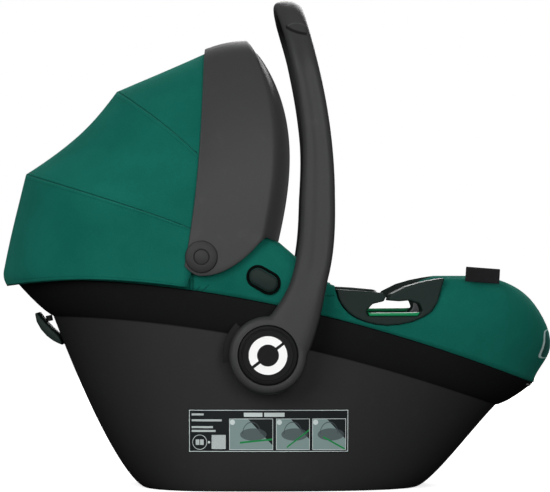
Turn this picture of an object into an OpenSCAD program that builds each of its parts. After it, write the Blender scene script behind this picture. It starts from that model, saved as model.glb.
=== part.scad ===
// Infant car seat: a reclined carrier with a carry handle and a folding canopy.
// Frame: +X towards the feet, +Y to the left side, +Z up, origin under the middle of the carrier.

/* [Carrier] */
// Length over the padded rim
carrier_length = 660; // [650:1:670]
// Half width of the padded rim at its widest
rim_half_width = 181; // [179:1:182]
// Half width of the shell's foot
foot_half_width = 134; // [130:1:136]
// Wall of the moulded shell
shell_wall = 4; // [3:0.5:4.5]
// Height of the rim's lower edge at the head end
hem_height = 247; // [245:1:249]
// Height of the rim where it rises beside the head
wing_height = 301; // [299:1:303]
// Height of the rim beside the legs
leg_rim_height = 240; // [238:1:242]

/* [Handle] */
// Top of the carry handle above the floor
handle_height = 574; // [572:1:580]
// Depth of the handle's section, measured outwards
handle_depth = 22; // [20:1:24]
// Radius of the handle's hub
hub_radius = 44.8; // [43:0.1:46]
// Radius of the release button in each hub
hub_button_radius = 34; // [32:0.5:34]
// Travel of the release button
hub_button_travel = 5; // [3:0.5:5]

/* [Canopy] */
// Radius of the canopy's front bow about its pivot
front_bow_radius = 222; // [218:1:224]
// Radius of the canopy's rear bow about its pivot
rear_bow_radius = 230; // [226:1:232]
// Radius of the visor's rear edge about its pivot
visor_radius = 247; // [245:1:249]
// Radius of the round cap over each canopy pivot
pivot_cap_radius = 18.7; // [16:0.1:19]

/* [Harness] */
// Width of the harness webbing
webbing_width = 38; // [34:1:40]
// Thickness of the webbing
webbing_thickness = 2; // [1.5:0.1:2.2]
// Half the distance between the shoulder straps
strap_spacing = 42; // [38:1:46]

/* [Hidden] */

plastic_black = "#1c1d1d";
plastic_grey = "#48484a";
plastic_dark = "#2b2f30";
fabric_green = "#195f52";
fabric_charcoal = "#3a3c3e";
accent_green = "#12714b";
steel = "#b7babd";

$fn = 64;
ring_steps = 52;
arch_steps = 34;
fit_gap = 0.3;
far = 300;

// ---------- small helpers ----------
function mix(a, b, t) = a + (b - a) * t;
function clamp01(t) = max(0, min(1, t));
function smooth(t) = let (c = clamp01(t)) c * c * (3 - 2 * c);
function power_cos(a, p) = sign(cos(a)) * pow(abs(cos(a)), p);
function power_sin(a, p) = sign(sin(a)) * pow(abs(sin(a)), p);

// Closed skin between two grids of points with the same rows and columns
module skin(outer, inner) {
    rows = len(outer);
    cols = len(outer[0]);
    back = rows * cols;
    points = concat([for (r = outer) each r], [for (r = inner) each r]);
    sheet = [for (i = [0 : rows - 2], j = [0 : cols - 2]) let (p = i * cols + j) each
        [[p, p + cols, p + 1], [p + 1, p + cols, p + cols + 1]]];
    lining = [for (f = sheet) [f[2] + back, f[1] + back, f[0] + back]];
    side_rows = [for (j = [0 : cols - 2]) let (p = j, q = (rows - 1) * cols + j) each
        [[p, p + 1, p + back], [p + 1, p + 1 + back, p + back],
         [q, q + back, q + 1], [q + 1, q + back, q + 1 + back]]];
    side_cols = [for (i = [0 : rows - 2]) let (p = i * cols, q = p + cols - 1) each
        [[p, p + back, p + cols], [p + cols, p + back, p + cols + back],
         [q, q + cols, q + back], [q + cols, q + cols + back, q + back]]];
    polyhedron(points, concat(sheet, lining, side_rows, side_cols), convexity = 8);
}

// Closed body through a stack of rings, ended by a single point at each end
module stack(rings, first, last) {
    count = len(rings);
    size = len(rings[0]);
    tip = count * size;
    points = concat([for (r = rings) each r], [first, last]);
    sides = [for (i = [0 : count - 2], j = [0 : size - 1])
        let (p = i * size + j, q = i * size + (j + 1) % size) each
        [[p, p + size, q], [q, p + size, q + size]]];
    start = [for (j = [0 : size - 1]) [tip, j, (j + 1) % size]];
    end = [for (j = [0 : size - 1]) let (p = (count - 1) * size) [tip + 1, p + (j + 1) % size, p + j]];
    polyhedron(points, concat(sides, start, end), convexity = 8);
}

// Closed ring-shaped body through rings whose last joins the first
module hoop(rings) {
    count = len(rings);
    size = len(rings[0]);
    sides = [for (i = [0 : count - 1], j = [0 : size - 1])
        let (n = (i + 1) % count, a = i * size + j, b = i * size + (j + 1) % size,
             c = n * size + j, d = n * size + (j + 1) % size) each
        [[a, c, b], [b, c, d]]];
    polyhedron([for (r = rings) each r], sides, convexity = 8);
}

module mirror_y(left = true) {
    mirror([0, left ? 0 : 1, 0]) children();
}

// Turns a flat drawing in X and Z into a slab from one distance to another on the left side
module side_slab(from, to) {
    translate([0, from, 0]) mirror([0, 1, 0]) rotate([90, 0, 0]) linear_extrude(to - from) children();
}

// Cylinder along Y on the left side
module side_disc(at, from, to, radius) {
    translate([at[0], from, at[1]]) rotate([-90, 0, 0]) cylinder(h = to - from, r = radius);
}

// ---------- outlines of the carrier ----------
widest_x = -40;
nose_x = carrier_length / 2;
band_height = 44;
function hem_z(x) = hem_height - 0.001237 * pow(max(0, x + 250), 1.82);
function crease_z(x) = hem_z(x) - band_height;
function nose_drop(x) = 0.0062 * pow(max(0, x - 240), 2);
function top_z(x) = mix(leg_rim_height, wing_height, smooth((75 - x) / 95))
    + 10 * smooth((x - 110) / 90) - nose_drop(x);

plan_power = 0.72;
function ring(rear, front, half, height, p = plan_power, widest = widest_x) = [for (i = [0 : ring_steps - 1])
    let (a = 360 * i / ring_steps, c = power_cos(a, p), x = widest + c * (c > 0 ? front - widest : widest - rear))
    [x, half * power_sin(a, p), height(x)]];

// Lower body: u runs from the floor to the crease
function tub_grow(u) = pow(u, 0.72);
function tub_rear(u) = -157 - 108 * tub_grow(u);
function tub_front(u) = 170 + 94 * tub_grow(u);
function tub_half(u) = mix(foot_half_width, rim_half_width - 21, tub_grow(u));
function tub(u, inset) = ring(tub_rear(u) + inset, tub_front(u) - inset, tub_half(u) - inset,
    function (x) max(inset, u * crease_z(x)));
function tub_side(x, z) = let (
        u = z / crease_z(x),
        reach = x > widest_x ? tub_front(u) - widest_x : widest_x - tub_rear(u))
    tub_half(u) * pow(1 - pow(abs(x - widest_x) / reach, 2 / plan_power), plan_power / 2);

// Flared band: t runs from the crease to the hem
function band(t, inset) = let (out = pow(t, 0.8))
    ring(mix(-265, -312, out) + inset, mix(264, nose_x - 12, out) - inset,
        mix(rim_half_width - 21, rim_half_width - 5.2, out) - inset,
        function (x) mix(crease_z(x), hem_z(x), t));

// Padded rim: the angle runs from the hem over the top to the inside
function roll_out(a) = a < 0 ? pow(cos(a), 0.5) : cos(a);
function roll_up(a) = pow(clamp01((sin(a) + 0.906) / 1.906), 0.6);
function roll(a, inset) = let (out = roll_out(a))
    ring(-300 - (16.5 - inset) * out, nose_x - 31 + (31 - inset) * out,
        rim_half_width - 15 + (15 - inset) * out,
        function (x) a < 90
            ? mix(hem_z(x), top_z(x) - inset, roll_up(a))
            : top_z(x) - inset - 14 * (1 - sin(a)));

// Inside of the seat: v runs from the rim to the lowest part
function seat_rear(v) = mix(-283, 30, v);
function seat_rear_z(v) = 262 - 184 * (1 - pow(1 - v, 1.5));
function seat_front(v) = mix(268, 120, pow(v, 1.2));
function seat_front_z(v) = 236 - 158 * (1 - pow(1 - v, 2));
function seat_half(v) = mix(150, 60, pow(v, 1.3));
function seat_z(x, v) = let (rear = seat_rear(v), front = seat_front(v))
    mix(top_z(x) - 13, mix(seat_rear_z(v), seat_front_z(v), clamp01((x - rear) / (front - rear))), smooth(v / 0.3));
function seat(v, grow) = ring(seat_rear(v) - grow, seat_front(v) + grow, seat_half(v) + grow,
    function (x) seat_z(x, v) - grow, mix(plan_power, 0.84, v), mix(widest_x, 75, v));

// ---------- places ----------
hub = [-8, 161];
canopy_pivot = [-84.5, 273.6];
side_button = [-13.2, 247];
side_button_size = [34.5, 19.5];
side_button_tilt = -30;
button_travel = 4;

mount_face = 194;
hub_inner = 197.5;
hub_outer = 221;
hub_wall_from = 203.5;
hub_wall_to = 207.5;
axle_radius = 8;

module stadium(size, tilt) {
    rotate(tilt) {
        for (side = [-1, 1])
            translate([side * (size[0] - size[1]) / 2, 0]) circle(d = size[1]);
        square([size[0] - size[1], size[1]], center = true);
    }
}

module at_side_button() {
    translate(side_button) children();
}

// ---------- belt guide ----------
guide_from = 150;
guide_to = 178;
guide_start_x = 71;
guide_turn = -6;
slot_reach = 105;
module along_rim() {
    translate([guide_start_x, guide_to, 0]) rotate(guide_turn) translate([-guide_start_x, -guide_to, 0])
        children();
}

// The curved dish of the guide, drawn from its nose round below the slot to its long arm
guide_outline = [
    [71, 236], [98, 234.5], [125, 232], [128.5, 227], [126, 222], [113, 219], [106, 211],
    [108, 205], [166, 205], [171, 211], [168, 219], [156, 223], [144, 222], [131, 223],
    [134, 230], [142, 234], [152, 239], [169, 244], [184, 247], [197, 249],
    [192, 232], [189, 221], [182, 210], [173, 204], [159, 198], [144, 195], [131, 194],
    [119, 195], [106, 198], [96, 202], [87, 207.5], [79, 216], [74, 225]
];

// The dish-shaped pocket in the rim that the guide lies in, open at the top
module guide_pocket() {
    along_rim() side_slab(guide_from - 2, far) offset(delta = 0.8)
        polygon(concat([[71, 320]], [[197, 320]], [for (i = [19 : len(guide_outline) - 1]) guide_outline[i]], [[71, 236]]));
}

// The belt's way over the padding, from one guide to the other
module belt_channel() {
    along_rim() side_slab(slot_reach, guide_from + 2)
        polygon([[106.5, 204.4], [171, 204.4], [171, 320], [106.5, 320]]);
}

// ---------- carrier ----------
shell_floor = [0, 0, 0];
crease_steps = [0, 0.03, 0.1, 0.22, 0.4, 0.62, 0.84, 1];
roll_steps = [-65, -45, -20, 5, 30, 55, 75, 90, 115, 140, 160];
seat_steps = [0.3, 0.4, 0.55, 0.7, 0.85, 1];
cover_wall = 3.5;

module side_cuts() {
    side_disc(hub, 140, far, 38.4);
    side_slab(160, far) at_side_button() stadium(side_button_size + [8, 8], side_button_tilt);
}

module both_sides() {
    for (left = [true, false]) mirror_y(left) children();
}

module carrier_shell() {
    inner = shell_wall;
    under_cover = cover_wall + 1;
    color(plastic_black) difference() {
        stack(
            concat(
                [for (u = crease_steps) tub(u, 0)],
                [for (t = [0.35, 0.7, 0.97]) band(t, 0)],
                [for (i = [0 : 6]) roll(roll_steps[i], under_cover)],
                [for (i = [6 : -1 : 0]) roll(roll_steps[i], under_cover + inner)],
                [for (t = [0.9, 0.4, 0]) band(t, inner + 0.5)],
                [for (i = [6 : -1 : 0]) tub(crease_steps[i], inner)]
            ),
            shell_floor, [0, 0, inner]
        );
        both_sides() {
            side_cuts();
            guide_pocket();
            side_disc(canopy_pivot, 140, far, 5.2);
        }
        for (x = latch_bar_places)
            translate([x, 0, 6]) cube([30, 90, 24], center = true);
    }
}

module foam_liner() {
    clear = shell_wall + 1;
    color("#e8e6df") difference() {
        stack(
            concat(
                [for (u = [0, 0.1, 0.22, 0.4, 0.62, 0.84, 1]) tub(u, clear + (u == 0 ? 14 : 0))],
                [for (t = [0.4, 0.9]) band(t, clear + 2)],
                [seat(0.2, 13)],
                [for (v = seat_steps) seat(v, 13)]
            ),
            [0, 0, clear + 14], [75, 0, 64]
        );
        both_sides() {
            side_cuts();
            guide_pocket();
            belt_channel();
        }
        for (x = latch_bar_places)
            translate([x, 0, 10]) cube([34, 94, 34], center = true);
        translate([adjuster_x, 0, 40]) cylinder(h = 60, r = 22);
        translate([crotch_x, 0, 40]) cube([20, 60, 90], center = true);
    }
}

module seat_cover() {
    color(fabric_green) difference() {
        hoop(concat(
            [for (i = [0 : len(roll_steps) - 1]) roll(roll_steps[i], 0)],
            [for (i = [len(roll_steps) - 1 : -1 : 0]) roll(roll_steps[i], cover_wall)]
        ));
        both_sides() {
            side_slab(160, far) at_side_button() stadium(side_button_size + [8.6, 8.6], side_button_tilt);
            side_disc(canopy_pivot, 140, far, 6);
            guide_pocket();
        }
    }
}

module seat_cushion() {
    pad = 11;
    color(fabric_charcoal) difference() {
        stack(
            concat(
                [for (i = [len(seat_steps) - 1 : -1 : 0]) seat(seat_steps[i], pad)],
                [for (v = [0.2, 0.12, 0.05]) seat(v, pad)],
                [for (v = [0.05, 0.12, 0.2]) seat(v, 0)],
                [for (v = seat_steps) seat(v, 0)]
            ),
            [75, 0, 78 - pad], [75, 0, 78]
        );
        both_sides() {
            guide_pocket();
            belt_channel();
        }
        translate([adjuster_x, 0, 40]) cylinder(h = 80, r = 20);
        translate([crotch_x, 0, 75]) cube([8, 46, 40], center = true);
    }
}

module hub_mount() {
    tab_from = 135;
    tab_to = 190;
    color(plastic_black) difference() {
        union() {
            side_disc(hub, 150, mount_face, 38);
            side_disc(hub, 188, mount_face, 43);
            side_slab(186, mount_face - 1) translate(hub) intersection() {
                difference() {
                    circle(r = 52);
                    circle(r = 30);
                }
                polygon(concat([[0, 0]], [for (a = [tab_from : 11 : tab_to]) 80 * [cos(a), sin(a)]]));
            }
        }
        side_disc(hub, 187, far, 22.5);
        side_disc(hub, 140, far, axle_radius + 0.05);
    }
}

module hub_axle() {
    color(steel) union() {
        side_disc(hub, 151, hub_wall_to + 0.5, axle_radius);
        side_disc(hub, hub_wall_to + 0.2, hub_wall_to + 2.2, 12);
    }
}

module belt_guide() {
    color(plastic_dark) along_rim() side_slab(guide_from, guide_to) polygon(guide_outline);
}

module belt_guide_lip() {
    color(accent_green) along_rim() side_slab(guide_from + 6, guide_to - 1)
        polygon([[109.5, 205.2], [165.5, 205.2], [168.6, 209.4], [165, 209], [111, 208.5], [107.4, 210]]);
}

// Horn at the back of the shell that the shoulder belt runs behind
module rear_belt_hook() {
    color(plastic_dark) translate([0, 35, 0]) rotate([90, 0, 0]) linear_extrude(70)
        polygon([[-286, 206], [-284, 196], [-279, 187], [-272, 179], [-264, 173], [-258, 170], [-252.8, 168],
            [-257, 178.5], [-260, 181.5], [-265, 186], [-272, 193], [-278, 200], [-283, 206.5]]);
}

module hook_stop() {
    color(plastic_black) translate([-270, 0, 196]) rotate([0, -12, 0]) difference() {
        cylinder(h = 7, r = 4);
        translate([0, 0, -1]) cylinder(h = 5, r = 1.5);
    }
}

latch_bar_places = [-95, 105];
module base_latch_bar(x) {
    color(steel) translate([x, 44.9, 9]) rotate([90, 0, 0]) cylinder(h = 89.8, r = 5);
}

module side_bezel() {
    color(plastic_black) side_slab(167, rim_half_width + 1) at_side_button() difference() {
        stadium(side_button_size + [7.4, 7.4], side_button_tilt);
        stadium(side_button_size + [0.8, 0.8], side_button_tilt);
    }
}

module side_button() {
    color(plastic_dark) union() {
        side_slab(172, rim_half_width + 2.5) at_side_button() stadium(side_button_size, side_button_tilt);
        side_slab(rim_half_width + 2.5, rim_half_width + 3.5) at_side_button()
            stadium(side_button_size - [3, 3], side_button_tilt);
    }
}

// ---------- handle ----------
arm_widest_z = 348;
arm_forward_x = 49.3;
function arm_x(z) = z > arm_widest_z
    ? arm_forward_x - 29.3 * pow((z - arm_widest_z) / 193, 2)
    : arm_forward_x - (arm_forward_x - hub[0]) * pow((arm_widest_z - z) / (arm_widest_z - hub[1]), 2.84);
function arm_width(z) = z > 250 ? 42 - 9 * (z - 250) / 290 : 42 + 26 * pow((250 - z) / 60, 1.6);
function arm_y(z) = 211 - 9 * clamp01((z - hub[1]) / 400);

bar_z = handle_height - handle_depth / 2 - 6;
corner = 78;
arm_top = bar_z - corner;
arm_stations = [for (i = [0 : 12]) mix(hub[1] + 3, arm_top, i / 12)];
corner_angles = [for (a = [12 : 12 : 84]) a];
bar_stations = [for (i = [0 : 4]) mix(arm_y(arm_top) - corner, 0, i / 4)];

// Each station of the left half: place in Y and Z, and the outward direction
function half_path() = concat(
    [for (z = arm_stations) [arm_y(z), z, 0]],
    [for (a = corner_angles) [arm_y(arm_top) - corner + corner * cos(a), arm_top + corner * sin(a), a]],
    [for (y = bar_stations) [y, bar_z + 6 * (1 - pow(y / 125, 2)), 90]]
);
function flip(path) = [for (i = [len(path) - 2 : -1 : 0]) [-path[i][0], path[i][1], 180 - path[i][2]]];
function whole_path() = concat(half_path(), flip(half_path()));

function handle_section(station, grow) = let (z = station[1], a = station[2], steps = 18)
    [for (i = [0 : steps - 1])
        let (b = 360 * i / steps,
             across = (arm_width(z) / 2 + grow) * power_cos(b, 0.75),
             out = (handle_depth / 2 + grow) * power_sin(b, 0.75))
        [arm_x(z) + across, station[0] + out * cos(a), z + out * sin(a)]];

module handle_tube(path, grow) {
    last = len(path) - 1;
    stack([for (s = path) handle_section(s, grow)],
        [arm_x(path[0][1]), path[0][0], path[0][1]],
        [arm_x(path[last][1]), path[last][0], path[last][1]]);
}

grip_from = 18;
function grip_path(extra) = [for (y = [60 + extra : -15 : -60 - extra]) [y, bar_z + 6 * (1 - pow(y / 125, 2)), 90]];

module handle_frame() {
    color(plastic_grey) difference() {
        handle_tube(whole_path(), 0);
        both_sides() side_disc(hub, 180, far, hub_radius + 0.1);
    }
}

// Soft sleeve on the underside of the carrying bar
module handle_grip() {
    color(plastic_black) difference() {
        handle_tube(grip_path(0), 2);
        handle_tube(grip_path(15), 0.4);
        translate([0, 0, bar_z + 50 + 4]) cube([120, 300, 100], center = true);
    }
}

module handle_hub() {
    color(plastic_grey) difference() {
        side_disc(hub, hub_inner, hub_outer, hub_radius);
        side_disc(hub, hub_wall_to, far, hub_button_radius + 0.3);
        side_disc(hub, 190, hub_wall_from, 22.5);
        side_disc(hub, 190, far, axle_radius + 0.25);
        for (a = prong_angles) prong_hole(a, 2.9, 190, far);
    }
}

prong_angles = [0, 120, 240];
prong_circle = 17;
module prong_hole(angle, radius, from, to) {
    side_disc(hub + prong_circle * [cos(angle), sin(angle)], from, to, radius);
}

button_inner = 215;
button_face = 222;
module hub_button() {
    color(plastic_dark) union() {
        side_disc(hub, button_inner, button_face, hub_button_radius);
        for (a = prong_angles) prong_hole(a, 2.5, hub_wall_from - 0.2, button_inner + 1);
    }
}

// Raised turn symbol: a ring parted into two arcs
module hub_symbol() {
    color("white") side_slab(button_face + 0.02, button_face + 0.6) translate(hub) difference() {
        circle(r = 22);
        circle(r = 12.5);
        rotate(38) square([60, 3.4], center = true);
    }
}

module lock_gear() {
    teeth = 12;
    color(steel) difference() {
        union() {
            side_disc(hub, 193, 203, 19.5);
            for (i = [0 : teeth - 1])
                side_slab(193, 203) translate(hub) rotate(360 * i / teeth) translate([19, 0])
                    square([5.6, 4.4], center = true);
        }
        side_disc(hub, 180, far, axle_radius + 0.4);
    }
}

module hub_spring() {
    coils = 3;
    wire = 1;
    color(steel) for (i = [0 : coils - 1])
        translate([hub[0], mix(hub_wall_to + 1.4, button_inner - 1.4, i / (coils - 1)), hub[1]])
            rotate([90, 0, 0]) rotate_extrude() translate([28, 0]) circle(r = wire, $fn = 16);
}

// ---------- canopy ----------
rear_bow_angle = 155;
front_bow_angle = 118;
visor_angle = 91;
visor_half = 193;

// One arch of the canopy: it rises from the pivots along the given angle
function arch(angle, radius, half, start = 0) = [for (i = [0 : arch_steps])
    let (a = mix(start, 180 - start, i / arch_steps), up = pow(sin(a), 0.72), side = power_cos(a, 0.72))
    [canopy_pivot[0] + radius * up * cos(angle), half * side, canopy_pivot[1] + radius * up * sin(angle)]];

// The lower edge of the canopy's fabric, round the head end of the rim
hem_front_x = -98;
function skirt(out) = [for (i = [0 : arch_steps])
    let (a = 180 * i / arch_steps, c = pow(sin(a), 0.8), x = mix(hem_front_x, -324 - out, c))
    [x, (rim_half_width + 3.2 + out) * power_cos(a, 0.8), hem_z(x) + 2]];

function between(one, two, t) = [for (i = [0 : len(one) - 1]) mix(one[i], two[i], t)];
function grid(one, two, steps) = [for (k = [0 : steps]) between(one, two, k / steps)];

module bow(angle, radius, boss_from) {
    thickness = 3;
    slim = 1.6;
    boss_to = boss_from + 2.2;
    start = 5;
    color(plastic_black) union() {
        skin(
            grid(arch(angle + slim, radius, boss_to, start), arch(angle - slim, radius, boss_to, start), 1),
            grid(arch(angle + slim, radius - thickness, boss_to - thickness, start),
                arch(angle - slim, radius - thickness, boss_to - thickness, start), 1)
        );
        both_sides() difference() {
            union() {
                side_disc(canopy_pivot, boss_from, boss_to, 11);
                side_slab(boss_from, boss_to) translate(canopy_pivot) rotate(angle)
                    translate([0, -3.5]) square([40, 7]);
            }
            side_disc(canopy_pivot, 100, far, 5.1);
        }
    }
}

module bow_rear() {
    bow(rear_bow_angle, rear_bow_radius - 5, 182.8);
}

module bow_front() {
    bow(front_bow_angle, front_bow_radius - 5, 185.6);
}

// Lower edge of the visor: round the pivot, then rising to the wing
function visor_edge_z(x) = let (d = x - canopy_pivot[0]) 251.5 + (d > 0 ? 0.0085 : 0.03) * d * d;
function visor_arch(t, thin) = let (
        foot_x = mix(-104, -2, t), foot_z = visor_edge_z(foot_x) + (t > 0.85 ? 4 : 0),
        turn = smooth((t - 0.7) / 0.3),
        top_x = mix(-88, -37 + 12 * turn, t), top_z = mix(521, 531, smooth(t * 1.4)) - 14 * turn - thin,
        half = visor_half - 13 * turn - thin)
    [for (i = [0 : arch_steps])
        let (a = 180 * i / arch_steps, up = pow(sin(a), 0.72), side = power_cos(a, 0.72))
        [mix(foot_x, top_x, up * up) + 34 * t * up * (1 - up * up), half * side, mix(foot_z, top_z, up)]];

module visor() {
    steps = 9;
    color(plastic_grey) difference() {
        skin(
            [for (k = [0 : steps]) visor_arch(k / steps, 0)],
            [for (k = [0 : steps]) visor_arch(k / steps, 2.4)]
        );
        both_sides() side_disc(canopy_pivot, 100, far, 5.1);
    }
}

module canopy_panel(one, two, one_in, two_in) {
    color(fabric_green) difference() {
        skin(grid(two, one, 5), grid(two_in, one_in, 5));
        both_sides() side_disc(canopy_pivot, 100, far, 12);
    }
}

module canopy_panel_front() {
    canopy_panel(
        arch(visor_angle + 1, visor_radius - 9.6, 188.7), arch(front_bow_angle, front_bow_radius, 189.6),
        arch(visor_angle + 1, visor_radius - 10.8, 187.7), arch(front_bow_angle, front_bow_radius - 1.2, 188.6)
    );
}

module canopy_panel_middle() {
    canopy_panel(
        arch(front_bow_angle + 0.6, front_bow_radius, 189.6), arch(rear_bow_angle, rear_bow_radius, 189.6),
        arch(front_bow_angle + 0.6, front_bow_radius - 1.2, 188.6), arch(rear_bow_angle, rear_bow_radius - 1.2, 188.6)
    );
}

module canopy_panel_rear() {
    color(fabric_green) difference() {
        skin(
            grid(skirt(5), arch(rear_bow_angle + 0.6, rear_bow_radius, 189.6), 7),
            grid(skirt(3.8), arch(rear_bow_angle + 0.6, rear_bow_radius - 1.2, 188.4), 7)
        );
        both_sides() side_disc(canopy_pivot, 100, far, 12);
    }
}

module canopy_pivot_pin() {
    color(plastic_dark) union() {
        side_disc(canopy_pivot, 160, visor_half + 1, 5);
        side_disc(canopy_pivot, visor_half + 0.4, visor_half + 2.6, pivot_cap_radius);
        difference() {
            side_disc(canopy_pivot, visor_half + 2.5, visor_half + 3.3, 9.3);
            side_disc(canopy_pivot, visor_half + 2, visor_half + 4, 8.3);
        }
    }
}

// ---------- harness ----------
adjuster_x = 190;
crotch_x = 118;
buckle_at = [96, 112];
back_slope = 36;

// A strip that follows points in X and Z, at the given place in Y
module strip(points, thick, width, y) {
    count = len(points) - 1;
    normals = [for (i = [0 : count]) let (d = points[min(i + 1, count)] - points[max(i - 1, 0)]) [-d[1], d[0]] / norm(d)];
    outline = concat(
        [for (i = [0 : count]) points[i] + normals[i] * thick / 2],
        [for (i = [count : -1 : 0]) points[i] - normals[i] * thick / 2]
    );
    translate([0, y + width / 2, 0]) rotate([90, 0, 0]) linear_extrude(width) polygon(outline);
}

function over_seat(v, lift) = [seat_rear(v) + lift * sin(back_slope), seat_rear_z(v) + lift * cos(back_slope)];

strap_lift = 26;
module shoulder_strap() {
    color(fabric_charcoal)
        strip([for (v = [0.5, 0.6, 0.72, 0.84, 0.95]) over_seat(v, strap_lift)],
            webbing_thickness, webbing_width, strap_spacing);
}

module shoulder_pad() {
    color(fabric_charcoal) difference() {
        strip([for (v = [0.52, 0.6, 0.7]) over_seat(v, strap_lift)], 11, webbing_width + 14, strap_spacing);
        strip([for (v = [0.48, 0.52, 0.6, 0.7, 0.78]) over_seat(v, strap_lift)],
            webbing_thickness + 0.8, webbing_width + 0.8, strap_spacing);
    }
}

clip_v = 0.8;
module chest_clip(length, tongue) {
    place = over_seat(clip_v, strap_lift);
    color(plastic_black) translate([place[0], 0, place[1]]) rotate([0, 24, 0]) difference() {
        union() {
            translate([-15, 6.2, -4.5]) cube([30, length, 9]);
            if (tongue) translate([-8, -12, -2]) cube([16, 20, 4]);
        }
        if (!tongue) translate([-9, 5, -2.6]) cube([18, 14.5, 5.2]);
        translate([-20, strap_spacing - webbing_width / 2 - 1, -3])
            cube([40, webbing_width + 2, 6]);
    }
}

module lap_strap() {
    start = [62, 117, 151];
    end = [buckle_at[0] - 6, 34, buckle_at[1] + 8];
    color(fabric_charcoal) skin(
        [for (k = [4 : -1 : 0]) let (p = mix(start, end, k / 4)) [p + [-15, 0, 10], p + [15, 0, -2]]],
        [for (k = [4 : -1 : 0]) let (p = mix(start, end, k / 4)) [p + [-15, 0, 8], p + [15, 0, -4]]]
    );
}

module crotch_strap() {
    color(fabric_charcoal) strip(
        [[crotch_x, 62], [crotch_x, 80], [crotch_x - 1, 90]],
        webbing_thickness, webbing_width, 0);
}

module crotch_pad() {
    color(fabric_charcoal) in_buckle() translate([6, 0, -11]) cube([44, webbing_width + 22, 5], center = true);
}

buckle_size = [46, 56, 15];
module in_buckle() {
    translate([buckle_at[0], 0, buckle_at[1]]) rotate([0, 40, 0]) children();
}

module buckle_body() {
    color(plastic_black) in_buckle() difference() {
        cube(buckle_size, center = true);
        translate([-2, 0, 5]) cube([24.6, 30.6, 20], center = true);
        translate([-20, 0, 0]) cube([30, 48, 5], center = true);
    }
}

module buckle_button() {
    color("#b3211f") in_buckle() translate([-2, 0, 7.5]) cube([24, 30, 5], center = true);
}

module buckle_tongue() {
    color(steel) in_buckle() translate([-26, 12.5, 0]) difference() {
        cube([28, 20, 3.6], center = true);
        translate([-8, 0, 0]) cube([5, 12, 8], center = true);
    }
}

module adjuster_housing() {
    color(plastic_black) translate([adjuster_x, 0, 74]) difference() {
        cylinder(h = 30, r = 19);
        translate([0, 0, 12]) cylinder(h = 30, r = 12.4);
    }
}

module adjuster_button() {
    color("#7b7f82") translate([adjuster_x, 0, 93]) cylinder(h = 14, r = 12);
}

// Padded head support that slides along the backrest
function head_grid(grow) = [for (v = [0.44, 0.36, 0.28, 0.2])
    [for (i = [0 : 14]) let (
            a = mix(106, 254, i / 14), c = power_cos(a, 0.82), s = power_sin(a, 0.82),
            x = widest_x + c * (widest_x - seat_rear(v) + grow - 14))
        [x, (seat_half(v) - 14 + grow) * s, seat_z(min(x, widest_x), v) - grow + 22]]];

module headrest() {
    color(fabric_charcoal) skin(head_grid(0), head_grid(-16));
}

// ---------- labels ----------
// Folded fabric tag sewn to the rim beside the legs, on one side only
tag_size = [44, 1.2, 17];
module size_tag() {
    color(plastic_black) translate([241, -148.2, 252]) rotate([0, 4, 24]) cube(tag_size, center = true);
}

// Stickers on both walls of the shell; each follows the wall
label_from = [-98, 40];
label_to = [84, 88];
function label_grid(lift) = [for (k = [4 : -1 : 0]) [for (i = [0 : 12])
    let (x = mix(label_from[0], label_to[0], i / 12), z = mix(label_from[1], label_to[1], k / 4))
    [x, tub_side(x, z) + lift, z]]];

module side_labels() {
    color("#2a2c2d") both_sides() skin(label_grid(0.5), label_grid(0.15));
}

carrier_shell();
foam_liner();
seat_cover();
seat_cushion();
mirror_y(true) hub_mount();  // hub_mount_left
mirror_y(false) hub_mount();  // hub_mount_right
mirror_y(true) hub_axle();  // hub_axle_left
mirror_y(false) hub_axle();  // hub_axle_right
mirror_y(true) belt_guide();  // belt_guide_left
mirror_y(false) belt_guide();  // belt_guide_right
mirror_y(true) belt_guide_lip();  // belt_guide_lip_left
mirror_y(false) belt_guide_lip();  // belt_guide_lip_right
rear_belt_hook();
hook_stop();
base_latch_bar(latch_bar_places[1]);  // base_latch_bar_front
base_latch_bar(latch_bar_places[0]);  // base_latch_bar_rear
mirror_y(true) side_bezel();  // side_bezel_left
mirror_y(false) side_bezel();  // side_bezel_right
mirror_y(true) side_button();  // side_button_left
mirror_y(false) side_button();  // side_button_right
handle_frame();
handle_grip();
mirror_y(true) handle_hub();  // handle_hub_left
mirror_y(false) handle_hub();  // handle_hub_right
mirror_y(true) hub_button();  // hub_button_left
mirror_y(false) hub_button();  // hub_button_right
mirror_y(true) hub_symbol();  // hub_symbol_left
mirror_y(false) hub_symbol();  // hub_symbol_right
mirror_y(true) lock_gear();  // lock_gear_left
mirror_y(false) lock_gear();  // lock_gear_right
mirror_y(true) hub_spring();  // hub_spring_left
mirror_y(false) hub_spring();  // hub_spring_right
mirror_y(true) canopy_pivot_pin();  // canopy_pivot_left
mirror_y(false) canopy_pivot_pin();  // canopy_pivot_right
bow_rear();
bow_front();
visor();
canopy_panel_rear();
canopy_panel_middle();
canopy_panel_front();
headrest();
mirror_y(true) shoulder_strap();  // shoulder_strap_left
mirror_y(false) shoulder_strap();  // shoulder_strap_right
mirror_y(true) shoulder_pad();  // shoulder_pad_left
mirror_y(false) shoulder_pad();  // shoulder_pad_right
mirror_y(true) chest_clip(60, false);  // chest_clip_left
mirror_y(false) chest_clip(60, true);  // chest_clip_right
mirror_y(true) lap_strap();  // lap_strap_left
mirror_y(false) lap_strap();  // lap_strap_right
crotch_strap();
crotch_pad();
buckle_body();
buckle_button();
mirror_y(true) buckle_tongue();  // buckle_tongue_left
mirror_y(false) buckle_tongue();  // buckle_tongue_right
adjuster_housing();
adjuster_button();
size_tag();
side_labels();
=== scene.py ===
# Infant car seat: the looks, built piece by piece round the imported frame.
import math

import bmesh
import bpy
from mathutils import Matrix, Vector, noise


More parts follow.
